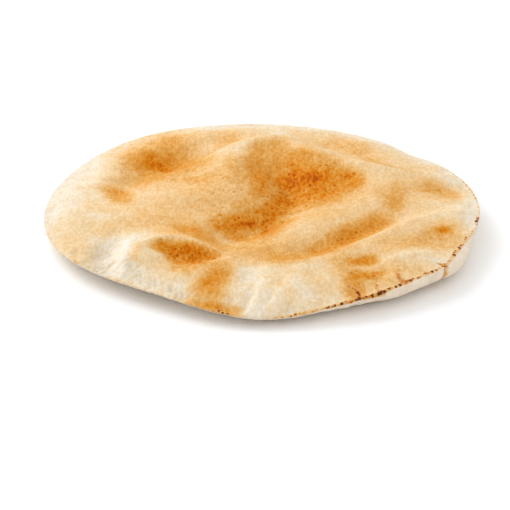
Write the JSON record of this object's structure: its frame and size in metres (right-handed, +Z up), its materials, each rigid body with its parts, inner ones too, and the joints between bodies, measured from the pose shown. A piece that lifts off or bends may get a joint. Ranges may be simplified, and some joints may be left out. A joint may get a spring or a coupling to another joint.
{
  "type": "pita bread",
  "caption": "Round pocket flatbread with a puffed, settled and folded top, a crisp seam around its rim and a pale flat underside.",
  "frame": {"origin": "on the surface that the bread rests on, under the middle of its bounding box", "axes": "+Z up out of the folded top, +X to the right and +Y away from the lower, drooping front edge"},
  "size_m": [0.2436, 0.2382, 0.0216],
  "materials": {
    "baked_dough": "matt baked dough, pale cream to golden, browned in the hollows and along the seam"
  },
  "bodies": {
    "root": {"pita_bread": "baked_dough"}
  },
  "joints": []
}
